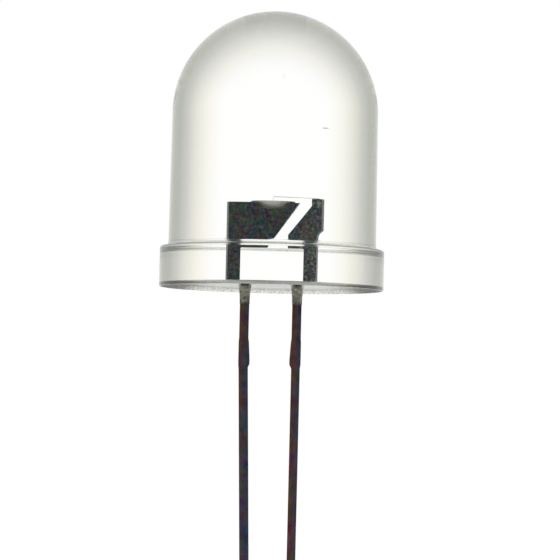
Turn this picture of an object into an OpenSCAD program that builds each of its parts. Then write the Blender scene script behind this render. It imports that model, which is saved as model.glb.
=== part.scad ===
// Water-clear 10 mm light-emitting diode with two through-hole leads. Lengths are in millimetres.
// +Z is the optical axis, towards the dome. The origin is the centre of the flange's underside,
// the face that seats on a board. The leads lie in the XZ plane, the cathode at -X, the anode at +X.

/* [Moulded body] */
// Diameter of the barrel where the dome starts
body_d = 10; // [9.6:0.1:10.1]
// Height from the underside to the tip of the dome
body_h = 13.5; // [12:0.1:16]
// Mould draft of the barrel, degrees a side
draft = 0.4; // [0.1:0.1:0.8]
// Diameter of the flange
flange_d = 10.9; // [10.8:0.05:12]
// Height of the flange
flange_h = 1.97; // [1:0.01:2.1]
// Radius of the flange's upper edge, while its lower edge is the sharp lip of the casting
flange_edge = 0.14; // [0.02:0.01:0.2]
// Radius of the fillet where the barrel meets the flange
flange_fillet = 0.2; // [0.05:0.01:0.25]
// Width of the flat ring under the flange, which seats on a board
seat_w = 0.08; // [0.05:0.01:0.2]
// Depth of the hollow inside that ring, where the resin shrank as it set
sink_h = 0.2; // [0.05:0.05:0.3]
// Width of the hollow's curved edge
sink_edge = 0.6; // [0.4:0.05:1]

/* [Resin collars at the leads] */
// How far the resin climbs down each lead
collar_h = 0.75; // [0.3:0.05:1.2]
// How far a collar stands out from the lead where it leaves the body
collar_foot = 0.085; // [0.05:0.005:0.2]
// Thickness of the resin film at the end of a collar
collar_film = 0.015; // [0.01:0.005:0.03]

/* [Leads] */
// Distance between the leads' centres
pitch = 2.54; // [2.4:0.01:2.7]
// Width of a leg inside the body
leg_w = 0.43; // [0.4:0.01:0.5]
// Width of a lead between the body and the dam-bar stub
lead_w = 0.45; // [0.4:0.01:0.5]
// Thickness of the lead frame's sheet
lead_t = 0.45; // [0.4:0.01:0.55]
// Chamfer on the long edges of the outside leads
lead_edge = 0.03; // [0.01:0.01:0.06]
// Width of the cathode lead below its stub
cathode_tail_w = 0.45; // [0.36:0.01:0.46]
// Width of the anode lead below its stub
anode_tail_w = 0.42; // [0.36:0.01:0.46]
// Length of the cathode lead below the underside
cathode_l = 25.4; // [20:0.1:30]
// Length of the anode lead below the underside
anode_l = 27; // [20:0.1:32]
// Inward bend of the cathode lead at its stub, in degrees
cathode_bend = 1.6; // [0:0.1:2]

/* [Dam-bar stubs] */
// Depth of the top of a stub below the underside
stub_z = 2.4; // [1.5:0.1:4]
// Length of a stub along the lead
stub_l = 1.45; // [1:0.05:2]
// How far a stub stands out near its top, on the side between the leads
stub_top = 0.03; // [0.01:0.01:0.05]
// How far it stands out there at its widest
stub_in = 0.08; // [0.06:0.01:0.12]
// How far a stub stands out on its other side
stub_out = 0.015; // [0.01:0.005:0.04]
// Length of the ramp at each end of a stub
stub_ramp = 0.2; // [0.1:0.02:0.3]

/* [Cathode anvil] */
// Height of the anvil's and the post's feet above the underside
foot_z = 1.9; // [1.7:0.01:2.4]
// Height of the anvil from its foot to its top edge
anvil_h = 2.185; // [2:0.005:2.6]
// How far the anvil's top runs on past the cup's boss, towards the post
anvil_land = 0.145; // [0.1:0.005:0.24]
// Where the foot of the anvil's slanted edge lies, from the axis towards the post
anvil_foot = -0.16; // [-0.3:0.01:0.1]
// Radius in the stamped corners
stamp_r = 0.07; // [0.03:0.01:0.1]

/* [Reflector cup] */
// Outer diameter of the coined boss
boss_d = 1.45; // [1.4:0.01:1.5]
// Radius of the boss's round underside
boss_bowl_r = 0.9; // [0.85:0.01:1]
// Height of the rim above the anvil's top edge
rim_lift = 0.06; // [0.02:0.01:0.1]
// Depth of the cup
cup_depth = 0.26; // [0.22:0.01:0.28]
// Diameter of the cup's mouth
cup_mouth_d = 1.24; // [1.1:0.01:1.3]
// Diameter of the cup's floor
cup_floor_d = 0.62; // [0.55:0.01:0.7]

/* [Anode post] */
// Height of the post's top above the anvil's
post_lift = 0.22; // [0.1:0.01:0.3]
// How far the post's head stands out past the leg's outer side
post_overhang = 0.17; // [0.1:0.01:0.25]
// Width of the post's head
post_w = 0.355; // [0.3:0.005:0.4]
// Gap between the anvil and the post at the top of the slot
slot_top_gap = 0.5; // [0.45:0.005:0.55]
// Gap between the anvil and the post at the foot of the slot
slot_foot_gap = 0.385; // [0.32:0.005:0.42]
// Height of the upright edge at the foot of the slot
slot_foot_h = 0.63; // [0.4:0.01:0.8]
// Height of the shoulder on the post's outer side above its foot
shoulder_h = 0.89; // [0.8:0.01:1]
// Radius under that shoulder
shoulder_r = 0.51; // [0.4:0.01:0.55]

/* [Die and bond wire] */
// Side of the square die
die_w = 0.3; // [0.25:0.01:0.34]
// Thickness of the die
die_h = 0.12; // [0.08:0.01:0.14]
// Thickness of the conductive cement under the die
cement_h = 0.02; // [0.01:0.005:0.03]
// How far the cement spreads past the die's corners at its foot
cement_spread = 0.03; // [0.02:0.005:0.05]
// Diameter of the bond wire
wire_d = 0.03; // [0.025:0.005:0.04]
// Height of the wire's loop above the post's top
loop_h = 0.08; // [0.07:0.01:0.2]
// Radius of the wire's bend above the die
loop_r = 0.06; // [0.04:0.01:0.08]
// Diameter of the ball bond on the die
ball_d = 0.09; // [0.07:0.01:0.11]
// Height of the ball bond
ball_h = 0.035; // [0.02:0.005:0.05]
// Length of the stitch bond on the post
stitch_l = 0.12; // [0.08:0.01:0.16]
// Width of the stitch bond
stitch_w = 0.07; // [0.05:0.01:0.1]
// Metal above and below the wire in the stitch bond
stitch_wall = 0.01; // [0.006:0.002:0.02]

/* [Hidden] */
// Facets of a full turn, and of the small rounds that edges and fillets have
$fn = 96;
small_fn = 32;

// The dome is tangent to the drafted barrel at the spring line
dome_r = body_d / 2;
dome_z = body_h - dome_r;
spring_r = dome_r * cos(draft);
spring_z = dome_z + dome_r * sin(draft);
foot_r = spring_r + (spring_z - flange_h) * tan(draft);
flange_r = flange_d / 2;

// The hollow under the flange: where its curved edge ends, and the arc that edge follows
sink_r = flange_r - seat_w - sink_edge;
sink_arc_r = (sink_edge * sink_edge + sink_h * sink_h) / (2 * sink_h);

// A leg's inner and outer side, as distances from the optical axis
leg_in = (pitch - leg_w) / 2;
leg_out = (pitch + leg_w) / 2;
stub_end = stub_z + stub_l;

// The anvil's top edge, and the cup from its rim down to what lies on its floor
anvil_top = foot_z + anvil_h;
anvil_reach = boss_d / 2 + anvil_land;
rim_z = anvil_top + rim_lift;
cup_floor_z = rim_z - cup_depth;
die_z = cup_floor_z + cement_h;
die_top = die_z + die_h;
cement_top_r = die_w / sqrt(2);

// The boss's round underside: its centre stands above the rim, and it meets the boss's side
// at the anvil's top edge
bowl_up = sqrt(boss_bowl_r * boss_bowl_r - boss_d * boss_d / 4) - rim_lift;
boss_rise = boss_bowl_r - bowl_up;
// The cut that makes the cup runs on past the rim, with the same taper
cup_over = 0.1;
cup_taper = (cup_mouth_d - cup_floor_d) / cup_depth;

// The anvil's slanted edge as a line: its distance past the axis at a height
slot_lean = (anvil_reach - anvil_foot) / (anvil_top - foot_z);
function anvil_edge(z) = anvil_foot + slot_lean * (z - foot_z);

// The post: its top, the sides of its head, and its slanted edge, from the upright edge
// at its foot to the inner side of its head
post_top = anvil_top + post_lift;
post_out = leg_out + post_overhang;
post_in = post_out - post_w;
post_foot_z = foot_z + slot_foot_h;
post_foot_x = anvil_edge(post_foot_z) + slot_foot_gap;
post_lean = (anvil_edge(anvil_top) + slot_top_gap - post_foot_x) / (anvil_top - post_foot_z);
post_head_z = post_foot_z + (post_in - post_foot_x) / post_lean;

// The bond wire leaves the ball upwards, turns, and runs down in a straight line to the stitch
wire_r = wire_d / 2;
bend_z = post_top + loop_h - wire_r - loop_r;
stitch_h = wire_d + 2 * stitch_wall;
stitch_x = post_in + post_w / 2;
stitch_z = post_top + stitch_h / 2;
run_dx = stitch_x - loop_r;
run_dz = stitch_z - bend_z;
run_reach = norm([run_dx, run_dz]);
run_l = sqrt(run_reach * run_reach - loop_r * loop_r);
run_fall = atan2(run_dx, run_dz) - acos(loop_r / run_reach);
// The straight lengths start this far inside the bend, which is thicker by the swell
wire_lap = 0.006;
bend_swell = 0.001;

// Outline of half the body, turned round the axis: dome, drafted barrel, fillet and flange
module body_profile() {
    intersection() {
        translate([0, dome_z]) circle(dome_r);
        translate([0, spring_z]) square([dome_r, dome_r]);
    }
    polygon([
        [0, flange_h / 2], [foot_r, flange_h / 2], [foot_r, flange_h], [spring_r, spring_z],
        [0, spring_z]
    ]);
    fillet_profile();
    flange_profile();
}

// Concave fillet that touches the drafted barrel and the flange's top
module fillet_profile() {
    centre_x = foot_r + flange_fillet * (1 - sin(draft)) / cos(draft);
    centre_z = flange_h + flange_fillet;
    touch_x = centre_x - flange_fillet * cos(draft);
    touch_z = centre_z - flange_fillet * sin(draft);
    inside_x = foot_r - flange_fillet;
    inside_z = flange_h - flange_fillet;
    difference() {
        polygon([
            [inside_x, inside_z], [centre_x, inside_z], [centre_x, centre_z], [touch_x, touch_z],
            [inside_x, touch_z]
        ]);
        translate([centre_x, centre_z]) circle(flange_fillet, $fn = small_fn);
    }
}

// Flange with its upper edge rounded
module flange_profile() {
    square([flange_r - flange_edge, flange_h]);
    square([flange_r, flange_h - flange_edge]);
    translate([flange_r - flange_edge, flange_h - flange_edge])
        circle(flange_edge, $fn = small_fn);
}

// Hollow under the flange: a flat ceiling that curves down to the seat, turned round the axis
module sink_profile() {
    translate([0, -sink_h]) square([sink_r, 2 * sink_h]);
    intersection() {
        translate([sink_r, sink_h - sink_arc_r]) circle(sink_arc_r, $fn = small_fn);
        translate([sink_r, -sink_h]) square([2 * sink_edge, 3 * sink_h]);
    }
}

// Side view of a resin collar on a lead this wide: it narrows along an arc that ends upright
module collar_profile(across) {
    foot = across / 2 + collar_foot;
    tip = across / 2 + collar_film;
    step = foot - tip;
    total_h = collar_h + sink_h;
    arc_r = (step * step + total_h * total_h) / (2 * step);
    difference() {
        translate([-foot, -collar_h]) square([2 * foot, total_h + collar_foot]);
        for (side = [-1, 1])
            translate([side * (tip + arc_r), -collar_h]) circle(arc_r);
    }
}

// Four-sided collar: the side view and the front view, each run through the other
module collar() {
    depth = 2 * (lead_t + lead_w);
    intersection() {
        rotate([90, 0, 0]) linear_extrude(depth, center = true) collar_profile(lead_w);
        rotate([90, 0, 90]) linear_extrude(depth, center = true) collar_profile(lead_t);
    }
}

// A stamped outline in the XZ plane, as thick as the sheet and centred on the leads
module stamping() {
    rotate([90, 0, 0]) linear_extrude(lead_t, center = true) children();
}

// Material left in a stamped inner corner, for a corner at the origin that opens to +X and -Z
module corner_fill() {
    difference() {
        translate([0, -stamp_r]) square(stamp_r);
        translate([stamp_r, -stamp_r]) circle(stamp_r);
    }
}

// Straight length of lead with its long edges broken, from one height down to another
module lead_bar(across, top, bottom) {
    x = across / 2;
    y = lead_t / 2;
    e = lead_edge;
    translate([0, 0, bottom])
        linear_extrude(top - bottom)
            polygon([
                [x, y - e], [x - e, y], [e - x, y], [-x, y - e],
                [-x, e - y], [e - x, -y], [x - e, -y], [x, e - y]
            ]);
}

// What is left of the dam bar that joined the leads: it stands out more on the side between them,
// which is +X where inner is 1, and it swells towards its lower end
module stub(tail, inner) {
    side = lead_w / 2;
    stamping()
        polygon([
            [inner * side, -stub_z],
            [inner * (side + stub_top), -stub_z - stub_ramp],
            [inner * (side + stub_in), -stub_end + 2 * stub_ramp],
            [inner * (side + stub_in), -stub_end + stub_ramp],
            [inner * tail / 2, -stub_end],
            [-inner * tail / 2, -stub_end],
            [-inner * (side + stub_out), -stub_end + stub_ramp],
            [-inner * (side + stub_out), -stub_z - stub_ramp],
            [-inner * side, -stub_z]
        ]);
}

// One lead outside the body, of this length, turned by a bend at its stub
module outside_lead(total, tail, inner, bend) {
    pivot = stub_end - stub_ramp;
    lead_bar(lead_w, 0, -stub_z - stub_ramp);
    stub(tail, inner);
    translate([0, 0, -pivot])
        rotate([0, bend, 0])
            lead_bar(tail, 0, pivot - total);
}

// Anvil and leg of the cathode, with the slanted edge that forms one side of the slot
module anvil_outline() {
    polygon([
        [-leg_out, 0], [-leg_in, 0], [-leg_in, foot_z], [anvil_edge(foot_z), foot_z],
        [anvil_reach, anvil_top], [-leg_out, anvil_top]
    ]);
    translate([-leg_in, foot_z]) corner_fill();
}

// Boss that coining the cup pushes out of both faces of the anvil
module cup_boss() {
    intersection() {
        translate([0, 0, rim_z - boss_rise]) cylinder(d = boss_d, h = boss_rise);
        translate([0, 0, rim_z + bowl_up]) sphere(boss_bowl_r);
    }
}

// Conical hollow that holds the die and throws its light forwards
module cup_hollow() {
    translate([0, 0, cup_floor_z])
        cylinder(
            d1 = cup_floor_d,
            d2 = cup_mouth_d + cup_over * cup_taper,
            h = cup_depth + cup_over
        );
}

module cathode_form() {
    difference() {
        union() {
            stamping() anvil_outline();
            cup_boss();
        }
        cup_hollow();
    }
    translate([-pitch / 2, 0, 0]) outside_lead(cathode_l, cathode_tail_w, 1, -cathode_bend);
}

// Post and leg of the anode: a narrow head over a foot that follows the anvil's slant
module post_outline() {
    difference() {
        polygon([
            [leg_in, 0], [leg_out, 0], [leg_out, foot_z], [post_out, foot_z], [post_out, post_top],
            [post_in, post_top], [post_in, post_head_z], [post_foot_x, post_foot_z],
            [post_foot_x, foot_z], [leg_in, foot_z]
        ]);
        shoulder_notch();
    }
    translate([leg_in, foot_z]) mirror([1, 0]) corner_fill();
}

// Notch under the post's outer shoulder: the leg's side, and an arc that runs from it out to the head
module shoulder_notch() {
    rise = sqrt(2 * shoulder_r * post_overhang - post_overhang * post_overhang);
    round_z = foot_z + shoulder_h - rise;
    translate([leg_out, foot_z - stamp_r])
        square([2 * post_overhang, round_z - foot_z + stamp_r]);
    translate([leg_out + shoulder_r, round_z]) circle(shoulder_r);
}

module anode_form() {
    stamping() post_outline();
    translate([pitch / 2, 0, 0]) outside_lead(anode_l, anode_tail_w, -1, 0);
}

module die_form() {
    translate([-die_w / 2, -die_w / 2, die_z]) cube([die_w, die_w, die_h]);
}

module cement_form() {
    translate([0, 0, cup_floor_z])
        cylinder(r1 = cement_top_r + cement_spread, r2 = cement_top_r, h = cement_h);
}

// Ball bond, neck, bend, straight run and stitch bond
module wire_form() {
    translate([0, 0, die_top]) {
        cylinder(d = ball_d, h = ball_h);
        cylinder(r = wire_r, h = bend_z - die_top + wire_lap);
    }
    translate([loop_r, 0, bend_z])
        rotate([90, 0, 0])
            rotate([0, 0, 90 - run_fall])
                rotate_extrude(angle = 90 + run_fall)
                    translate([loop_r, 0]) circle(wire_r + bend_swell);
    translate([loop_r + loop_r * sin(run_fall), 0, bend_z + loop_r * cos(run_fall)])
        rotate([0, 90 + run_fall, 0])
            translate([0, 0, -wire_lap]) cylinder(r = wire_r, h = run_l + wire_lap);
    translate([stitch_x - stitch_l / 2, -stitch_w / 2, post_top])
        cube([stitch_l, stitch_w, stitch_h]);
}

// Clear resin cast round the lead frame, so every inner piece leaves its own cavity
module lens_body() {
    color([0.86, 0.88, 0.84, 0.4])
        difference() {
            union() {
                rotate_extrude()
                    difference() {
                        body_profile();
                        sink_profile();
                    }
                for (side = [-1, 1]) translate([side * pitch / 2, 0, 0]) collar();
            }
            cathode_form();
            anode_form();
            die_form();
            cement_form();
            wire_form();
        }
}

module cathode_lead() {
    color([0.25, 0.21, 0.22]) cathode_form();
}

module anode_lead() {
    color([0.27, 0.21, 0.2]) anode_form();
}

module led_die() {
    color([0.72, 0.7, 0.55]) die_form();
}

module die_attach() {
    color([0.7, 0.7, 0.7]) cement_form();
}

module bond_wire() {
    color([0.85, 0.68, 0.3]) wire_form();
}

lens_body();
cathode_lead();
anode_lead();
led_die();
die_attach();
bond_wire();
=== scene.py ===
# %% [markdown]
# # A water-clear light-emitting diode against white
#
# The real thing is a stamped steel lead frame with clear epoxy cast round it in a mould. Metal, die and
# wire are wetted by the resin, so light bends only once on its way in and once on its way out. The
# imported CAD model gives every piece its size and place. This script gives each one its finish, and it
# makes finer surfaces where light shows every facet: the resin, the reflector cup and the bond wire.

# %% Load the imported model
import bmesh
import bpy
import numpy as np
from mathutils import Matrix, Vector


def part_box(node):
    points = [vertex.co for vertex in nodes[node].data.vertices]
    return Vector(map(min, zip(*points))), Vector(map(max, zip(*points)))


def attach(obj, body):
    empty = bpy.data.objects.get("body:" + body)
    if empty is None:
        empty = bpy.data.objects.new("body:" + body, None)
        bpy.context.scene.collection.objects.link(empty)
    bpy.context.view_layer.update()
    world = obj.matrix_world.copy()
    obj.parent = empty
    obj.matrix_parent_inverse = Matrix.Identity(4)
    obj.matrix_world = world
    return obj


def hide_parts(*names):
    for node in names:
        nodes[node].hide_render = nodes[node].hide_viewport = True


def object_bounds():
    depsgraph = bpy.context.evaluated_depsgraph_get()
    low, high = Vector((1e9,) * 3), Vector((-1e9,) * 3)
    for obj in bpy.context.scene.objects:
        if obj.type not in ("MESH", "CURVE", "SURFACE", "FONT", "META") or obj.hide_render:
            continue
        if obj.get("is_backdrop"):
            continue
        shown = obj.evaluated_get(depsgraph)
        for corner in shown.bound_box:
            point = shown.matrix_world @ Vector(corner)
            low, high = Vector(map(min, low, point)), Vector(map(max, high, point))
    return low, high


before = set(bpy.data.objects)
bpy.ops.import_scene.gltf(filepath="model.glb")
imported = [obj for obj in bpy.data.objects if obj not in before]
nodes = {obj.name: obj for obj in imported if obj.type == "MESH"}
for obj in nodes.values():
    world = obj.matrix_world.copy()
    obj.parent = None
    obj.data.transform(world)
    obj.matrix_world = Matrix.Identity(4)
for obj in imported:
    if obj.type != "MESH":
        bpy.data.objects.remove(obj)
cad_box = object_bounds()
print("CAD nodes:", sorted(nodes))

# %% [markdown]
# ## Sizes
#
# Blender works in metres, so a real size in millimetres is multiplied by MM. What the boxes of the CAD
# pieces can tell is read from them, at their low corner [0] or their high corner [1]: the flange, the
# tip, the cup's rim, the post's top. The few sizes that lie inside an outline are named here, with the
# same values as in the CAD model.

# %% Sizes of the body, in metres
MM = 0.001
MICRON = 0.001 * MM
lens_low, lens_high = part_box("lens_body")
cathode_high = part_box("cathode_lead")[1]
anode_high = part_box("anode_lead")[1]
cement_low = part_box("die_attach")[0]
die_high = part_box("led_die")[1]
wire_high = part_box("bond_wire")[1]

flange_r = lens_high.x
tip_z = lens_high.z
collar_h = -lens_low.z
barrel_r = 5.0 * MM
dome_z = tip_z - barrel_r
draft_degrees = 0.4
flange_h = 1.97 * MM
flange_edge = 0.14 * MM
flange_fillet = 0.2 * MM
print(f"flange radius {flange_r / MM:.3f} mm, dome centre {dome_z / MM:.2f} mm above the seat")
print(f"collars down to {collar_h / MM:.2f} mm below the seat")

# %% [markdown]
# ## Surfaces as grids of points
#
# A surface here is a grid of points: its rows follow a profile or a path, and its columns go round.
# Numpy works the whole grid out at once, and Blender gets it in one call. Corners that coincide, as at
# a pole or a seam, are merged afterwards, which closes the surface.

# %% Points on arcs and lines
def crowded(steps):
    """Shares from 0 to 1 that crowd at both ends: (1 - cos(pi t)) / 2. Smooth shading needs short
    faces beside a corner, because it bends the light on the whole of the face."""
    return (1 - np.cos(np.pi * np.linspace(0, 1, steps + 1))) / 2


def arc(centre, radius, start, end, steps):
    """Centre plus radius times (cosine, sine) of angles that go evenly from start to end, in degrees."""
    turn = np.radians(np.linspace(start, end, steps + 1))
    return np.stack([centre[0] + radius * np.cos(turn), centre[1] + radius * np.sin(turn)], axis=1)


def line(start, end, steps):
    """A straight line: start plus crowded shares of the way to the end."""
    start, end = np.array(start, float), np.array(end, float)
    return start + crowded(steps)[:, None] * (end - start)


def joined(*stretches):
    """Stretches of one profile end to end, without the point that each shares with the one before."""
    return np.concatenate([stretches[0], *[stretch[1:] for stretch in stretches[1:]]])


def turned(profile, columns):
    """A profile of (radius, height) points turned round Z: x and y are radius times cosine and sine."""
    turn = np.arange(columns) * (2 * np.pi / columns)
    r, z = profile[:, :1], profile[:, 1:]
    return np.stack([r * np.cos(turn), r * np.sin(turn), np.broadcast_to(z, (len(r), columns))], axis=2)


print("a quarter turn in 4 steps:", arc((0, 0), 1, 0, 90, steps=4).round(2).tolist())

# %% [markdown]
# Several grids can make one closed piece, as when the resin's wall meets the two halves of its
# underside. Their points are numbered in one list, corners that coincide are merged, and bmesh turns
# all faces outwards. Open edges are counted, because a lens with a gap in it bends light wrongly.

# %% One mesh from its grids
def grid_faces(rows, columns, first):
    """Four corner numbers for each square between two rows. A point's number is first plus its row
    times columns plus its column, and after the last column comes the first one again."""
    row, column = np.meshgrid(np.arange(rows - 1), np.arange(columns), indexing="ij")
    beside = (column + 1) % columns
    corners = [row * columns + column, row * columns + beside]
    corners += [(row + 1) * columns + beside, (row + 1) * columns + column]
    return np.stack(corners, axis=2).reshape(-1, 4) + first


def make_piece(name, grids, weld):
    """A smooth closed piece on the body, from grids of points in metres. Corners within weld merge."""
    points, faces, count = [], [], 0
    for grid in grids:
        rows, columns = grid.shape[:2]
        points.append(grid.reshape(-1, 3))
        faces.append(grid_faces(rows, columns, count))
        count += rows * columns
    mesh = bpy.data.meshes.new(name)
    mesh.from_pydata(np.concatenate(points).tolist(), [], np.concatenate(faces).tolist())
    work = bmesh.new()
    work.from_mesh(mesh)
    bmesh.ops.remove_doubles(work, verts=work.verts, dist=weld)
    bmesh.ops.recalc_face_normals(work, faces=work.faces)
    open_edges = sum(len(edge.link_faces) != 2 for edge in work.edges)
    work.to_mesh(mesh)
    work.free()
    mesh.polygons.foreach_set("use_smooth", np.ones(len(mesh.polygons), bool))
    piece = bpy.data.objects.new(name, mesh)
    bpy.context.scene.collection.objects.link(piece)
    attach(piece, "root")
    print(f"{name}: {len(mesh.polygons)} faces, {open_edges} open edges")
    return piece


print("a grid of 3 rows and 4 columns has", len(grid_faces(3, 4, 0)), "faces")

# %% [markdown]
# ## The resin
#
# On the real diode the resin is one casting: dome, drafted barrel, flange, and the thin collars that
# creep down the leads. It could be a primitive with modifiers, but a lens shows every flat facet, so
# the outer wall is a turned profile of arcs and lines.

# %% The outer wall of the resin
wall_columns = 256
lip_r = 0.02 * MM


def wall_profile():
    """Lip, flange, upper edge, fillet, barrel and dome, as one line of (radius, height) points. The
    barrel leans in by the draft and touches the dome. The fillet touches the flange's top and the
    barrel, so its centre is at the foot's radius plus the fillet's times (1 - sine) / cosine of the
    lean."""
    lean = np.radians(draft_degrees)
    spring = np.array([barrel_r * np.cos(lean), dome_z + barrel_r * np.sin(lean)])
    foot_r = spring[0] + (spring[1] - flange_h) * np.tan(lean)
    fillet_x = foot_r + flange_fillet * (1 - np.sin(lean)) / np.cos(lean)
    lip = arc((flange_r - lip_r, lip_r), lip_r, -90, 0, steps=6)
    edge = arc((flange_r - flange_edge, flange_h - flange_edge), flange_edge, 0, 90, steps=12)
    fillet = arc((fillet_x, flange_h + flange_fillet), flange_fillet, 270, 180 + draft_degrees, steps=14)
    dome = arc((0, dome_z), barrel_r, draft_degrees, 90, steps=72)
    side = line(lip[-1], edge[0], steps=10)
    step = line(edge[-1], fillet[0], steps=4)
    barrel = line(fillet[-1], spring, steps=16)
    return joined(lip, side, edge, step, fillet, barrel, dome)


wall = wall_profile()
print(f"wall: {len(wall)} points from the lip to the tip")

# %% [markdown]
# The underside is where the mould was open. The resin shrank there as it set: a flat ring stays at the
# rim, and inside it the surface rises in a curve to a shallow ceiling. At each lead it creeps down the
# metal as a square collar that thins to a film. Both shapes are heights that follow from one distance,
# so each is a formula of its own, written before there is any grid.

# %% Sizes of the cast underside
pitch = 2.54 * MM
lead_half = 0.225 * MM
collar_film = 0.015 * MM
collar_foot = 0.085 * MM
seat_w = 0.08 * MM
sink_h = 0.2 * MM
sink_edge = 0.6 * MM


def sunk(from_rim):
    """Height of the hollow at a distance from the rim: 0 on the seat, and then the share
    1 - (1 - way / reach)^2, which rises steeply and levels off at 1 where the ceiling starts."""
    way = (from_rim - seat_w) / sink_edge
    return sink_h * (1 - (1 - np.clip(way, 0, 1)) ** 2)


def collar_levels(steps=24):
    """Half width and height, from the closed end inside the lead and up a hollow arc to the ceiling.
    The arc starts upright at the film, so its radius is (run^2 + height^2) / (2 run), and at each
    height its width is the film's plus radius less the root of radius^2 - rise^2."""
    tip, foot = lead_half + collar_film, lead_half + collar_foot
    run = foot - tip
    total_h = collar_h + sink_h
    sweep_r = (run**2 + total_h**2) / (2 * run)
    rise = total_h * crowded(steps)
    width = tip + sweep_r - np.sqrt(sweep_r**2 - rise**2)
    closed_end = np.array([[0, -collar_h], [lead_half / 2, -collar_h], [lead_half, -collar_h]])
    return np.concatenate([closed_end, np.stack([width, rise - collar_h], axis=1)])


print(f"collar: {2 * collar_levels()[-1, 0] / MM:.2f} mm wide where it leaves the ceiling")

# %% [markdown]
# With two collars the underside can't be turned like the wall. Each half of it is a grid whose columns
# run outwards from a lead like rays: up the collar, and over the ceiling to the rim or to the middle
# line. Its outer points are the very points of the wall's first row, so that merging leaves no gap.

# %% The underside with its two collars
ray_steps = 64
middle_steps = 64
corner_power = 14


def underside(side, rim_r):
    """The half of the underside round one lead. Near the lead a ray's points lie on a rounded square,
    whose radius is the half width over the nth root of |cos|^n + |sin|^n, and further out on a straight
    line to its outer point, on the rim or on the middle line that both halves share."""
    turn = np.linspace(-np.pi / 2, np.pi / 2, wall_columns // 2 + 1)
    rim = np.stack([side * rim_r * np.cos(turn), rim_r * np.sin(turn)], axis=1)
    rim[[0, -1], 0] = 0
    middle_y = np.linspace(rim_r, -rim_r, middle_steps + 1)[1:-1]
    outer = np.concatenate([rim, np.stack([0 * middle_y, middle_y], axis=1)])
    centre = np.array([side * pitch / 2, 0])
    ray = outer - centre
    ray /= np.linalg.norm(ray, axis=1, keepdims=True)
    square = ray / (np.abs(ray) ** corner_power).sum(axis=1, keepdims=True) ** (1 / corner_power)
    levels = collar_levels()
    near = centre + levels[:, None, :1] * square
    far = near[-1] + crowded(ray_steps)[1:, None, None] * (outer - near[-1])
    near_height = np.broadcast_to(levels[:, 1:], near.shape[:2])
    far_height = sunk(flange_r - np.linalg.norm(far, axis=2))
    return np.dstack([np.concatenate([near, far]), np.concatenate([near_height, far_height])])


halves = [underside(side, flange_r - lip_r) for side in (-1, 1)]
lens = make_piece("resin_lens", [turned(wall, wall_columns), *halves], weld=1 * MICRON)
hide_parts("lens_body")

# %% [markdown]
# ## The reflector cup
#
# A punch coins the cup into the edge of the anvil, and pushes a round boss out of both its faces. The
# CAD boss has flat facets, so a turned skin covers it, two micrometres outside the metal: the cup's
# floor and cone, a lip, the boss's side and its bowl-shaped underside.

# %% Reflector cup
rim_z = cathode_high.z
boss_r = cathode_high.y
cup_floor_z = cement_low.z
rim_lift = 0.06 * MM
bowl_r = 0.9 * MM
mouth_r = 0.62 * MM
floor_r = 0.31 * MM
skin = 2 * MICRON
edge_r = 0.012 * MM


def cup_profile():
    """A line of (radius, height) points from the axis and back to it: floor, cone, lip, side of the
    boss and its bowl. The bowl belongs to a ball, whose centre stands the root of bowl radius^2 less
    boss radius^2 above the side's lower end."""
    bowl_z = rim_z + np.sqrt(bowl_r**2 - boss_r**2) - rim_lift
    floor = line((0, cup_floor_z + skin), (floor_r - edge_r, cup_floor_z + skin), steps=6)
    cone = line((floor_r, cup_floor_z + skin + edge_r), (mouth_r - skin, rim_z - edge_r), steps=14)
    turn_over = arc((mouth_r - skin + edge_r, rim_z - edge_r + skin), edge_r, 180, 90, steps=6)
    top = line(turn_over[-1], (boss_r + skin - edge_r, rim_z + skin), steps=3)
    edge = arc((boss_r + skin - edge_r, rim_z + skin - edge_r), edge_r, 90, 0, steps=6)
    side = line(edge[-1], (boss_r + skin, rim_z - rim_lift), steps=3)
    low = np.degrees(np.arccos(boss_r / bowl_r))
    bowl = arc((0, bowl_z), bowl_r + skin, -low, -90, steps=24)
    return np.concatenate([floor, cone, turn_over, top[1:], edge[1:], side[1:], bowl[1:]])


cup = make_piece("reflector_cup", [turned(cup_profile(), columns=160)], weld=0.2 * MICRON)

# %% [markdown]
# ## The bond wire
#
# A gold wire thinner than a hair joins the die to the post. It starts in a squashed ball on the die,
# rises, turns and falls to the post, where it is pressed flat. A curve object could do it, but a tube
# of rings along a worked-out path stays one closed mesh together with its ball and its stitch.

# %% Path of the wire
wire_r = 0.015 * MM
bend_swell = 0.001 * MM
loop_r = 0.06 * MM
ball_r = wire_high.y
ball_h = 0.035 * MM
stitch_l = 0.12 * MM
stitch_w = 0.07 * MM
stitch_h = 2 * wire_r + 0.02 * MM
die_top = die_high.z
post_top = anode_high.z
stitch_x = wire_high.x - stitch_l / 2
stitch_z = post_top + stitch_h / 2


def wire_path():
    """Points up from the ball, round a bend and down in a straight line that touches it. The bend ends
    at an angle from upright: that of the way from its centre to the stitch, less the angle whose
    cosine is the bend's radius over that way's length."""
    bend_z = wire_high.z - wire_r - bend_swell - loop_r
    reach = np.array([stitch_x - loop_r, stitch_z - bend_z])
    fall = np.degrees(np.arctan2(*reach) - np.arccos(loop_r / np.linalg.norm(reach)))
    up = line((0, die_top + ball_h / 2), (0, bend_z), steps=8)
    bend = arc((loop_r, bend_z), loop_r, 180, 90 - fall, steps=16)
    down = line(bend[-1], (stitch_x, stitch_z), steps=24)
    return joined(up, bend, down)


wire_run = wire_path()
wire_length = np.linalg.norm(np.diff(wire_run, axis=0), axis=1).sum()
print(f"bond wire: {wire_length / MM:.2f} mm of wire {2 * wire_r / MM:.3f} mm thick")

# %% [markdown]
# Ball and stitch are where the wire was welded. The ball is a turned profile, and the stitch a block
# with soft edges, which one formula gives without a bevel. Both reach into the wire and are left as
# closed shells of their own, because metal that crosses metal inside shows nothing.

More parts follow.
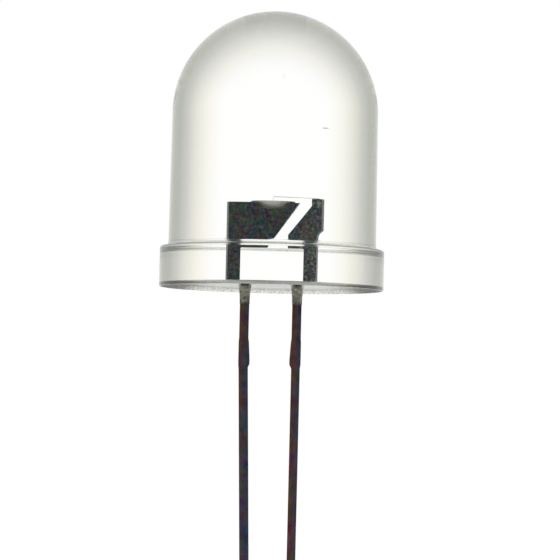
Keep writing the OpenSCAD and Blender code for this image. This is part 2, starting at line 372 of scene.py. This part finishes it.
# %% Ball, wire and stitch
def tube(path, radius, columns):
    """A round tube along a path in the XZ plane: each ring is the path's point plus radius times
    cosine across the path and radius times sine along Y."""
    ahead = np.gradient(path, axis=0)
    ahead /= np.linalg.norm(ahead, axis=1, keepdims=True)
    turn = np.arange(columns) * (2 * np.pi / columns)
    across = np.stack([ahead[:, 1], -ahead[:, 0]], axis=1)
    xz = path[:, None, :] + np.cos(turn)[None, :, None] * radius * across[:, None, :]
    y = np.broadcast_to(radius * np.sin(turn), xz.shape[:2])
    rings = np.stack([xz[..., 0], y, xz[..., 1]], axis=2)
    ends = [np.broadcast_to([path[i, 0], 0, path[i, 1]], (1, columns, 3)) for i in (0, -1)]
    return np.concatenate([ends[0], rings, ends[1]])


def pillow(centre, size, power, rows, columns):
    """A block with rounded edges: a sphere's directions, each as long as one over the nth root of
    |x|^n + |y|^n + |z|^n, times the half sizes."""
    down = np.pi * np.linspace(0, 1, rows)[:, None]
    turn = (2 * np.pi * np.arange(columns) / columns)[None, :]
    way = np.stack([np.sin(down) * np.cos(turn), np.sin(down) * np.sin(turn),
                    np.broadcast_to(np.cos(down), (rows, columns))], axis=2)
    reach = (np.abs(way) ** power).sum(axis=2, keepdims=True) ** (1 / power)
    return np.array(centre) + way / reach * np.array(size) / 2


belly_r = ball_h / 2
ball = joined(line((0, die_top), (ball_r - belly_r, die_top), steps=2),
              arc((ball_r - belly_r, die_top + belly_r), belly_r, -90, 90, steps=10),
              line((ball_r - belly_r, die_top + ball_h), (0, die_top + ball_h), steps=2))
stitch_size = (stitch_l, stitch_w, stitch_h)
stitch = pillow((stitch_x, 0, stitch_z), stitch_size, power=5, rows=13, columns=24)
wire_grids = [tube(wire_run, wire_r, columns=16), turned(ball, columns=32), stitch]
wire = make_piece("bond_wire_fine", wire_grids, weld=0.05 * MICRON)
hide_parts("bond_wire")

# %% [markdown]
# ## Materials as expressions
#
# A material is a small program, and nodes are hard to read in a script. So one class stands for a
# number on its way through the shader: a sum or a product of such numbers adds the Math node by itself.
# A finish is then mostly masks, numbers that are 1 where something shows and 0 elsewhere.

# %% Shader numbers
class Signal:
    """A socket's number. Arithmetic on it adds a Math node and gives the result's Signal."""

    def __init__(self, paint, socket):
        self.paint, self.socket = paint, socket

    def math(self, operation, *values):
        return self.paint.node("ShaderNodeMath", {"operation": operation}, dict(enumerate(values)))

    def __add__(self, other):
        return self.math("ADD", self, other)

    def __sub__(self, other):
        return self.math("SUBTRACT", self, other)

    def __rsub__(self, other):
        return self.math("SUBTRACT", other, self)

    def __mul__(self, other):
        return self.math("MULTIPLY", self, other)

    def __truediv__(self, other):
        return self.math("DIVIDE", self, other)

    def __pow__(self, other):
        return self.math("POWER", self, other)

    __radd__, __rmul__ = __add__, __mul__

    def ramp(self, low, high):
        """0 up to low, 1 from high on, and a smooth step between them."""
        sockets = {"Value": self, "From Min": low, "From Max": high}
        return self.paint.node("ShaderNodeMapRange", {"interpolation_type": "SMOOTHSTEP"}, sockets)

    def between(self, rise, fall):
        """0, then 1, then 0 again: a ramp up over the two ends of rise, and one down over fall's."""
        return self.ramp(*rise) * (1 - self.ramp(*fall))


print("a Signal takes + - * / ** and adds a Math node for each")

# %% [markdown]
# Everything else, textures, ramps and mixes, comes from one method that takes the node's type, its
# settings and what goes into its sockets. The short methods after it only give the nodes that this
# scene uses a plain name.

# %% Shader nodes
class Paint:
    """A node tree being filled."""

    def __init__(self, tree):
        self.tree = tree
        tree.nodes.clear()

    def node(self, kind, settings=None, sockets=None, output=None):
        """Adds a node: its settings first, then values or links by socket name or number. It gives the
        Signal of the output with that name, or else of the first one."""
        made = self.tree.nodes.new(kind)
        for name, value in (settings or {}).items():
            setattr(made, name, value)
        for name, value in (sockets or {}).items():
            socket = self.enabled(made.inputs, name)
            if isinstance(value, Signal):
                self.tree.links.new(value.socket, socket)
            else:
                socket.default_value = value
        return Signal(self, self.enabled(made.outputs, output)) if made.outputs else None

    def enabled(self, sockets, wanted):
        """The socket with this number, or the first one in use that has this name or, at None, any."""
        if isinstance(wanted, int):
            return sockets[wanted]
        return next(socket for socket in sockets if socket.enabled and wanted in (socket.name, None))

    def place(self):
        """The Object coordinate, which on every piece here is the row's own frame in metres."""
        return self.node("ShaderNodeTexCoord", output="Object")

    def axes(self, vector):
        """The three numbers of a vector."""
        made = self.node("ShaderNodeSeparateXYZ", sockets={0: vector}).socket.node
        return [Signal(self, socket) for socket in made.outputs]

    def scaled(self, vector, factors, offset=(0, 0, 0)):
        """A vector or colour with each axis multiplied by its own factor and then moved. A place that
        is scaled by less than 1 along an axis gives a pattern that is drawn out that way."""
        sockets = {0: vector, 1: factors, 2: offset}
        return self.node("ShaderNodeVectorMath", {"operation": "MULTIPLY_ADD"}, sockets)

    def sum(self, first, second):
        """Two vectors or colours added channel by channel."""
        return self.node("ShaderNodeVectorMath", {"operation": "ADD"}, {0: first, 1: second})

    def noise(self, vector, size, detail=2.0, output=None):
        """Cloudy noise round 0.5, whose features are about as large as the size, in metres."""
        sockets = {"Vector": vector, "Scale": 1 / size, "Detail": detail}
        return self.node("ShaderNodeTexNoise", {}, sockets, output)

    def mix(self, factor, first, second):
        """The first colour where the factor is 0 and the second where it is 1."""
        sockets = {"Factor": factor, "A": first, "B": second}
        return self.node("ShaderNodeMix", {"data_type": "RGBA"}, sockets)

    def stops(self, factor, stops):
        """A colour that runs through stops, each a place from 0 to 1 and its colour."""
        made = self.node("ShaderNodeValToRGB", {}, {"Fac": factor})
        ramp = made.socket.node.color_ramp
        while len(ramp.elements) < len(stops):
            ramp.elements.new(0.5)
        for element, (place, colour) in zip(ramp.elements, stops):
            element.position, element.color = place, colour
        return made

    def relief(self, height):
        """The normal of a surface that stands this much proud, in metres."""
        return self.node("ShaderNodeBump", {}, {"Strength": 1.0, "Distance": 1.0, "Height": height})


def rgb(red, green, blue):
    """A colour as a screen shows it, 0 to 255, as the linear colour that a shader takes."""
    shown = np.array([red, green, blue]) / 255
    linear = np.where(shown <= 0.04045, shown / 12.92, ((shown + 0.055) / 1.055) ** 2.4)
    return (*linear.tolist(), 1.0)


print("mid grey on a screen is", round(rgb(128, 128, 128)[0], 3), "in a shader")

# %% [markdown]
# A finish is given by its recipe, a function that says what goes into the Principled shader's sockets.
# The rest is the same for all of them: a material, its tree, its output, and the pieces that get it.

# %% A finish for some pieces
def finish(name, pieces, recipe):
    """A material made by its recipe, which gets a Paint and returns the Principled shader's sockets."""
    material = bpy.data.materials.new(name)
    material.use_nodes = True
    paint = Paint(material.node_tree)
    surface = paint.node("ShaderNodeBsdfPrincipled", {}, recipe(paint))
    paint.node("ShaderNodeOutputMaterial", {}, {"Surface": surface})
    for piece in pieces:
        if not piece.material_slots:
            piece.data.materials.append(material)
        for slot in piece.material_slots:
            slot.material = material
    print(f"{name}: {len(material.node_tree.nodes)} nodes on {[piece.name for piece in pieces]}")


print("materials before the first finish:", len(bpy.data.materials))

# %% [markdown]
# ## Finish of the resin
#
# Epoxy is all but colourless, and yet it looks darker towards its outline, a grey with a trace of olive,
# because near its outline the resin bends the view towards darker surroundings. A volume would be slow
# and noisy. So that darkening is painted shade in the base colour on the surface, and it grows with
# Layer
# Weight's Facing, as sheen does. It acts on the way in and again on the way out. A dome sends light
# other ways than a barrel, so it has its own, paler run of painted shade.

# %% Painted edge shade of barrel and dome
barrel_shade_stops = [
    (0.14, rgb(255, 255, 254)),
    (0.24, rgb(241, 237, 220)),
    (0.34, rgb(208, 207, 191)),
    (0.46, rgb(161, 163, 155)),
    (0.60, rgb(119, 127, 119)),
    (0.72, rgb(110, 116, 104)),
]
dome_shade_stops = [
    (0.08, rgb(255, 255, 254)),
    (0.24, rgb(228, 227, 215)),
    (0.34, rgb(195, 197, 188)),
    (0.46, rgb(163, 166, 158)),
    (0.60, rgb(134, 140, 131)),
    (0.72, rgb(128, 134, 122)),
]
dome_blend = dome_z, dome_z + 2.5 * MM


def resin_edge_shade(paint, z):
    """A painted shade for how far the surface turns from the view, the barrel's below and the dome's
    above.
    """
    facing = paint.node("ShaderNodeLayerWeight", {}, {"Blend": 0.5}, output="Facing")
    # painted shade: the base colour greys as the surface turns from the view
    barrel_shade = paint.stops(facing, barrel_shade_stops)
    dome_shade = paint.stops(facing, dome_shade_stops)
    return paint.mix(z.ramp(*dome_blend), barrel_shade, dome_shade)


print(f"the dome's tint is full from {dome_blend[1] / MM:.1f} mm above the seat")

# %% [markdown]
# The clear resin has two small marks, a grey fleck and a pale one in its front. The corner between
# flange and barrel gets a painted highlight, a band mixed towards white that makes it lighter than its
# slope alone would. Each is a mask worked out from the place on the piece, so it needs no image and no
# unwrapping.

# %% Marks in the clear resin
grey_fleck = (2.41 * MM, 7.52 * MM), (0.2 * MM, 0.05 * MM)
pale_fleck = (0.38 * MM, 9.94 * MM), (0.12 * MM, 0.2 * MM)
fleck_core = 0.1
back_half = -1 * MM, 0
# painted highlight: the heights of the band on the corner between flange and barrel, and how far it goes
# to white
corner_highlight_low = flange_h - 0.01 * MM, flange_h + 0.01 * MM
corner_highlight_high = flange_h + 0.06 * MM, flange_h + 0.12 * MM
corner_highlight_share = 0.9


def oval(x, z, middle, half):
    """How far out a point lies in an oval, as (x way / half width)^2 + (z way / half height)^2: 0 in
    the oval's middle and 1 on its outline."""
    return ((x - middle[0]) / half[0]) ** 2 + ((z - middle[1]) / half[1]) ** 2


def marked(paint, edge_shade, x, y, z):
    """The painted edge shade with both flecks, on the front alone, and with the painted highlight at the
    corner.
    """
    front = 1 - y.ramp(*back_half)
    for fleck, colour in ((grey_fleck, rgb(150, 150, 140)), (pale_fleck, rgb(244, 244, 240))):
        shown = (1 - oval(x, z, *fleck).ramp(fleck_core, 1)) * front
        edge_shade = paint.mix(shown, edge_shade, colour)
    # painted highlight: the corner between flange and barrel is mixed towards white
    return paint.mix(z.between(corner_highlight_low, corner_highlight_high) * corner_highlight_share, edge_shade, rgb(255, 255, 255))


print(f"light corner: {(corner_highlight_high[1] - corner_highlight_low[0]) / MM:.2f} mm high")

# %% [markdown]
# The mould leaves faint upright streaks on the walls and a half matt zone where it parted, at the
# flange's upper edge. The open underside has a cast grain that scatters light, so it is rough and has
# its own pale and grey. Epoxy bends light by 1.485. Its front mirror is weakened by Specular Tint, or
# else the white room on it would hide how dark the metal behind it is.

# %% Clear epoxy
seat_inner = flange_r - seat_w
seat_soft = 0.02 * MM
ceiling_end = sink_h + 0.01 * MM, sink_h + 0.03 * MM
parting_low = flange_h - 0.2 * MM, flange_h - 0.12 * MM
parting_high = flange_h + 0.15 * MM, flange_h + 0.3 * MM
grain_shape, grain_height = (1, 0.2, 1), 12 * MICRON
mould_shape, mould_height = (1, 1, 0.03), 0.2 * MICRON
cast_roughness, parting_roughness = 0.42, 0.16
mirror_tint = (0.35, 0.38, 0.38, 1.0)


def clear_epoxy(paint):
    place = paint.place()
    x, y, z = paint.axes(place)
    radius = (x * x + y * y) ** 0.5
    inside_seat = 1 - radius.ramp(seat_inner - seat_soft, seat_inner + seat_soft)
    cast = inside_seat * (1 - z.ramp(*ceiling_end))
    grain = paint.noise(paint.scaled(place, grain_shape), size=0.1 * MM, detail=4.0)
    streaks = paint.noise(paint.scaled(place, mould_shape), size=0.22 * MM)
    parting = z.between(parting_low, parting_high)
    # the clear resin's colour: painted shade towards the outline, the flecks, and a painted highlight at
    # the corner
    clear_shade_and_light = marked(paint, resin_edge_shade(paint, z), x, y, z)
    cast_tint = paint.mix(grain.ramp(0.3, 0.7), rgb(248, 248, 245), rgb(160, 162, 154))
    return {
        "Base Color": paint.mix(cast, clear_shade_and_light, cast_tint),
        "Roughness": cast * cast_roughness + parting * parting_roughness,
        "IOR": 1.485,
        "Transmission Weight": 1.0,
        "Specular Tint": mirror_tint,
        "Normal": paint.relief(cast * grain * grain_height + streaks * mould_height),
    }


finish("clear_epoxy", [lens], clear_epoxy)

# %% [markdown]
# ## Finish of the metal
#
# The strip is plated steel. Below the resin it is painted dark, a painted shade in place of its bright
# plating, brown on one side and violet on the other, in streaks along the lead and with faint blotches
# of other hues. A mix by side alone would look airbrushed, so the streaks move the border between the
# two.

# %% Painted shade of the leads outside
brown, violet = rgb(77, 50, 41), rgb(49, 49, 64)
side_pull, streak_pull, brown_bias = 0.5, 1.4, 0.2
blotch_shape = (1, 1, 0.6)
blotch_gain, blotch_base = (0.1, 0.1, 0.1), (-0.05, -0.049, -0.05)


def dark_shade(paint, place, side, streaks):
    """From brown at side -1 to violet at side 1, with coloured noise round zero added."""
    # painted shade: brown and violet are both dark, in place of the shade on bright plating
    turn = (side * side_pull + streaks * streak_pull - brown_bias).ramp(0, 1)
    hues = paint.noise(paint.scaled(place, blotch_shape), size=0.3 * MM, detail=3.0, output="Color")
    return paint.sum(paint.mix(turn, brown, violet), paint.scaled(hues, blotch_gain, blotch_base))


print(f"blotches add up to {blotch_gain[0] / 2:.2f} to the tarnish or take it away")

# %% [markdown]
# Under the resin the plating is painted dark and cool, a painted shade in place of its bright metal,
# with a mottle of clouds in several hues and with bright flakes, which are fainter where anvil and post
# are wide. Two noises do it, one in colour for the clouds and one with more detail, cut to its peaks,
# for the flakes.

# %% Plating inside the resin
wide_foot = 2.0 * MM, 2.4 * MM
wide_head = 3.5 * MM, 4.0 * MM
wide_calm = 0.6
mottle_shape = (1.5, 1, 1)
mottle_gain, shade_drop = (0.21, 0.21, 0.21), (0.083, 0.075, 0.074)
flake_floor, flake_peak = 0.46, 0.66


def mottled_plating(paint, place, z, lift, worn):
    """Dark clouds of painted shade that lift makes lighter, and over them flakes with the strength worn.
    """
    mottle_place = paint.scaled(place, mottle_shape)
    clouds = paint.noise(mottle_place, size=0.15 * MM, output="Color")
    # painted shade: the clouds are dropped to a dark level
    plating = paint.scaled(clouds, mottle_gain, [lift - drop for drop in shade_drop])
    flakes = paint.noise(mottle_place, size=0.13 * MM, detail=5.0).ramp(flake_floor, flake_peak)
    calm = 1 - z.between(wide_foot, wide_head) * wide_calm
    return paint.mix(flakes * calm * worn, plating, rgb(150, 154, 138))


print(f"calmer from {wide_foot[1] / MM:.1f} to {wide_head[0] / MM:.1f} mm above the seat")

# %% [markdown]
# Beneath the collars the metal has a pale, patchy haze. It is duller towards the thin end of a collar,
# and a small round stain breaks it. The collars are too thin to show that by themselves, so it is a
# colour on the metal under them.

# %% Haze beneath the collars
haze_start = -0.95 * MM, -0.5 * MM
haze_end = 0.0 * MM, sink_h
dull_end = -0.3 * MM
stain_z, stain_half = -0.47 * MM, 0.13 * MM
patch_floor, patch_peak = 0.38, 0.58
haze_least, haze_patches, haze_dull, haze_stain = 0.4, 0.6, 0.35, 0.7


def hazed(paint, place, plating, x, z, middle_x):
    """The plating with the haze over it, of the least strength plus the patches less the dull end."""
    patches = paint.noise(place, size=0.11 * MM, detail=3.0).ramp(patch_floor, patch_peak)
    dull = 1 - z.ramp(haze_start[0], dull_end)
    stain = 1 - oval(x, z, (middle_x, stain_z), (stain_half, stain_half)).ramp(0, 1)
    strength = patches * haze_patches + haze_least - dull * haze_dull
    shown = z.between(haze_start, haze_end) * strength * (1 - stain * haze_stain)
    return paint.mix(shown, plating, rgb(214, 212, 194))


print(f"haze from {haze_start[0] / MM:.2f} to {haze_end[1] / MM:.2f} mm, where the seat is 0")

# %% [markdown]
# Now the three go together. All of them follow from how high a point lies and how far it is from its
# lead's middle, so one recipe serves both leads. The anode's plating is a little lighter and has more
# flakes than the cathode's.

# %% Plated steel of the two leads
drawn_shape, drawn_height = (1, 1, 0.02), 2 * MICRON
collar_end = -collar_h - 0.01 * MM, -collar_h + 0.01 * MM


def lead_frame_steel(middle_x, lift, worn):
    """The recipe of a lead's steel, for a lead whose outside part stands at middle_x. Lift makes its
    plating inside the resin that much lighter, and worn is the strength of the bright flakes in it."""
    def recipe(paint):
        place = paint.place()
        x, _, z = paint.axes(place)
        streaks = paint.noise(paint.scaled(place, drawn_shape), size=0.07 * MM)
        plating = mottled_plating(paint, place, z, lift, worn)
        inside = hazed(paint, place, plating, x, z, middle_x)
        outside = dark_shade(paint, place, (x - middle_x) / lead_half, streaks)
        return {
            "Base Color": paint.mix(1 - z.ramp(*collar_end), inside, outside),
            "Metallic": 0.85,
            "Roughness": 0.38 + streaks * 0.2,
            "Normal": paint.relief(streaks * drawn_height),
        }
    return recipe


finish("cathode_steel", [nodes["cathode_lead"]], lead_frame_steel(-pitch / 2, lift=0.0, worn=0.1))
finish("anode_steel", [nodes["anode_lead"]], lead_frame_steel(pitch / 2, lift=0.012, worn=0.6))

# %% [markdown]
# The boss gets a painted highlight, lighter in the middle as if its curve mirrored bright light, and it
# is cloudy towards its sides. The skin over the cup has its own finish for that, a mix of a dull and a
# bright plating.

# %% Coined metal of the cup
boss_highlight_half = 0.6 * MM
boss_highlight_gain, cloud_gain, dull_bias = 0.7, 0.9, 0.45
relief_rise = 0.2 * MM
coined_height = 3 * MICRON


def coined_plating(paint):
    place = paint.place()
    x, _, z = paint.axes(place)
    clouds = paint.noise(place, size=0.12 * MM, detail=3.0)
    # painted highlight: the middle of the boss is mixed towards the bright plating
    middle = 1 - (x * x).ramp(0, boss_highlight_half**2)
    above_floor = (z - cup_floor_z).ramp(0, relief_rise)
    boss_highlight_and_clouds = (middle * boss_highlight_gain + clouds * cloud_gain - dull_bias).ramp(0, 1)
    return {
        "Base Color": paint.mix(boss_highlight_and_clouds, rgb(112, 113, 102), rgb(196, 197, 188)),
        "Metallic": 0.85,
        "Roughness": 0.3 + clouds * 0.2,
        "Normal": paint.relief(clouds * above_floor * coined_height),
    }


finish("coined_plating", [cup], coined_plating)

# %% [markdown]
# ## Finish of the small inner pieces
#
# None of these is larger than a grain of sand, and die and cement are seen only from above, through
# the dome. The die is a sawn crystal, with fine saw marks and a gold pad under the wire's ball. The pad
# is so thin that it is only a round mask on the top.

# %% Die
pad_edge = 0.055 * MM, 0.06 * MM
pad_depth = die_top - 0.01 * MM, die_top - 0.005 * MM
saw_shape, saw_height = (0.1, 0.1, 1), 0.8 * MICRON


def sawn_crystal(paint):
    place = paint.place()
    x, y, z = paint.axes(place)
    saw_marks = paint.noise(paint.scaled(place, saw_shape), size=0.01 * MM)
    pad = (1 - ((x * x + y * y) ** 0.5).ramp(*pad_edge)) * z.ramp(*pad_depth)
    crystal = paint.mix(saw_marks, rgb(150, 150, 112), rgb(178, 176, 138))
    return {
        "Base Color": paint.mix(pad, crystal, rgb(226, 184, 96)),
        "Metallic": pad,
        "Roughness": 0.45 - pad * 0.15,
        "Normal": paint.relief(saw_marks * saw_height),
    }


finish("sawn_crystal", [nodes["led_die"]], sawn_crystal)

# %% [markdown]
# The cement is an adhesive full of silver flakes. One noise picks the flakes out, as brighter and more
# metallic than the glue between them, and the wire is drawn gold with faint marks along its way. Its
# gold is a pale one, because in the photograph the wire is all but lost against the white.

# %% Cement and wire
flake_size, flake_height = 0.02 * MM, 2 * MICRON
wire_shape, wire_marks = (0.1, 1, 1), 0.006 * MM


def silver_cement(paint):
    flakes = paint.noise(paint.place(), flake_size, detail=3.0)
    return {
        "Base Color": paint.mix(flakes.ramp(0.35, 0.65), rgb(140, 140, 138), rgb(205, 205, 200)),
        "Metallic": flakes.ramp(0.45, 0.6),
        "Roughness": 0.5,
        "Normal": paint.relief(flakes * flake_height),
    }


def bright_gold(paint):
    drawn = paint.noise(paint.scaled(paint.place(), wire_shape), wire_marks)
    return {
        "Base Color": paint.mix(drawn, rgb(250, 236, 200), rgb(255, 246, 224)),
        "Metallic": 1.0,
        "Roughness": 0.15 + drawn * 0.1,
    }


finish("silver_cement", [nodes["die_attach"]], silver_cement)
finish("bright_gold", [wire], bright_gold)

# %% [markdown]
# ## Floor
#
# The photograph has nothing but white behind the diode. The floor is pale paper, just under the longer
# lead, and it takes light and shadow like any paper. What it lacks to pure white is added as a weak
# glow, for the camera and for reflections alone. The resin's own view of the room is left to the
# backdrop, so that a low floor close by doesn't fill the lens.

# %% Floor
floor_half = 1500 * MM
floor_z = cad_box[0].z - 0.02 * MM
paper_white = 0.8
shown_white = 1.02


def for_rays(paint, *kinds):
    """1 for a ray of one of these kinds, such as a camera ray, and 0 for the others."""
    made = paint.node("ShaderNodeLightPath").socket.node
    rays = [Signal(paint, made.outputs[f"Is {kind} Ray"]) for kind in kinds]
    return sum(rays[1:], rays[0]).ramp(0, 1)


corners = [(x * floor_half, y * floor_half, floor_z) for x, y in ((-1, -1), (1, -1), (1, 1), (-1, 1))]
floor_mesh = bpy.data.meshes.new("floor")
floor_mesh.from_pydata(corners, [], [(0, 1, 2, 3)])
floor = bpy.data.objects.new("floor", floor_mesh)
bpy.context.scene.collection.objects.link(floor)
floor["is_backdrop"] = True
floor.visible_transmission = False

paper = bpy.data.materials.new("paper")
paper.use_nodes = True
floor_mesh.materials.append(paper)
paint = Paint(paper.node_tree)
glow = for_rays(paint, "Camera", "Glossy") * (shown_white - paper_white)
lit = paint.node("ShaderNodeBsdfDiffuse", {}, {"Color": (paper_white, paper_white, paper_white, 1)})
added = paint.node("ShaderNodeEmission", {}, {"Strength": glow})
both = paint.node("ShaderNodeAddShader", {}, {0: lit, 1: added})
paint.node("ShaderNodeOutputMaterial", {}, {"Surface": both})
print(f"floor at {floor_z / MM:.2f} mm")

# %% [markdown]
# ## Light
#
# The object stands in a white room: soft light from everywhere, and one wide, weak lamp from above for
# the shadow on the floor. Together they add up to 1 on a level surface, so a colour renders about as
# it is written. Bare metal mirrors a room that is white all round. Through the resin the room is white
# too, but for a dim ceiling, which helps the tint to make the photograph's dark lines: at the flange's
# edges and at the lip under it, the resin turns the view straight up.

# %% Room
lamp_share = 0.22
ambient = 1 - lamp_share
ceiling_start = 0.6, 0.85
dim_ceiling = rgb(158, 161, 156)
white = (1, 1, 1, 1)

world = bpy.data.worlds.new("room")
world.use_nodes = True
bpy.context.scene.world = world
paint = Paint(world.node_tree)
upward = paint.axes(paint.node("ShaderNodeTexCoord", output="Generated"))[2]
ceiling = upward.ramp(*ceiling_start) * for_rays(paint, "Transmission")
room = paint.mix(ceiling, white, dim_ceiling)
mirrored = for_rays(paint, "Glossy", "Transmission")
seen = paint.mix(mirrored, (ambient, ambient, ambient, 1), room)
shown = paint.mix(for_rays(paint, "Camera"), seen, white)
background = paint.node("ShaderNodeBackground", {}, {"Color": shown, "Strength": 1.0})
paint.node("ShaderNodeOutputWorld", {}, {"Surface": background})
print(f"the ceiling's edge is {np.degrees(np.arcsin(ceiling_start[0])):.0f} degrees above the horizon")

# %% [markdown]
# A sun lamp gives the same light at every distance, so the size of the object doesn't matter to it. A
# wide angle makes its shadow soft. Tilted, it lights a level surface by the cosine of its tilt, so its
# strength is divided by that. A strength of pi from straight above would show white paper as white.

# %% Lamp
lamp_tilt = np.radians(32)
lamp_turn = np.radians(40)
lamp_width = np.radians(30)

lamp_data = bpy.data.lights.new("lamp", "SUN")
lamp_data.energy = lamp_share * np.pi / np.cos(lamp_tilt)
lamp_data.angle = lamp_width
lamp = bpy.data.objects.new("lamp", lamp_data)
lamp.rotation_euler = (lamp_tilt, 0, lamp_turn)
lamp.visible_glossy = False
lamp.visible_transmission = False
bpy.context.scene.collection.objects.link(lamp)
print(f"light on a level surface: {ambient:.2f} from the room, {lamp_share:.2f} from the lamp")

# %% [markdown]
# ## Camera
#
# The photograph was taken from the front, with the lens a little below the body, turned slightly up and
# held a little askew, so the near edge of the underside stands higher in the picture than the far one.
# The camera hangs 200 mm in front. Its focal length follows from how many pixels a millimetre takes in
# the picture, and its aim from where the seat's centre appears: that many pixels left of and below the
# middle of the picture.

# %% Camera
picture = 560
distance = 200 * MM
pixels_per_metre = 20.61 / MM
seat_left, seat_below = 8.85, 8.85
look_up = np.radians(2.5)
roll = np.radians(1.37)
sensor_mm = 36

forward = Vector((0, np.cos(look_up), np.sin(look_up)))
upright = Vector((0, -np.sin(look_up), np.cos(look_up)))
level = Vector((1, 0, 0))
right = level * np.cos(roll) + upright * np.sin(roll)
up = upright * np.cos(roll) - level * np.sin(roll)
aim = right * (seat_left / pixels_per_metre) + up * (seat_below / pixels_per_metre)

camera_data = bpy.data.cameras.new("camera")
camera_data.sensor_width = sensor_mm
camera_data.lens = sensor_mm * distance * pixels_per_metre / picture
camera_data.clip_start = 1 * MM
camera_data.clip_end = 10_000 * MM
camera = bpy.data.objects.new("camera", camera_data)
bpy.context.scene.collection.objects.link(camera)
turn = Matrix((right, up, -forward)).transposed().to_4x4()
camera.matrix_world = Matrix.Translation(aim - forward * distance) @ turn
bpy.context.scene.camera = camera
bpy.context.scene.view_settings.view_transform = "Standard"
print(f"focal length {camera_data.lens:.0f} mm, aimed {aim.z / MM:.2f} mm above the seat")

# %% [markdown]
# ## Sizes at the end
#
# The finer pieces keep to the size of the CAD pieces. The two boxes still differ by about 0.005 mm,
# because the CAD mesh has facets where the new wall is round. The script compares them and prints the
# largest difference.

# %% Sizes and the end
visual_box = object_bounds()
growth = max(abs(a - b) for one, two in zip(cad_box, visual_box) for a, b in zip(one, two))
print(f"the boxes differ by {growth / MM:.4f} mm at most")
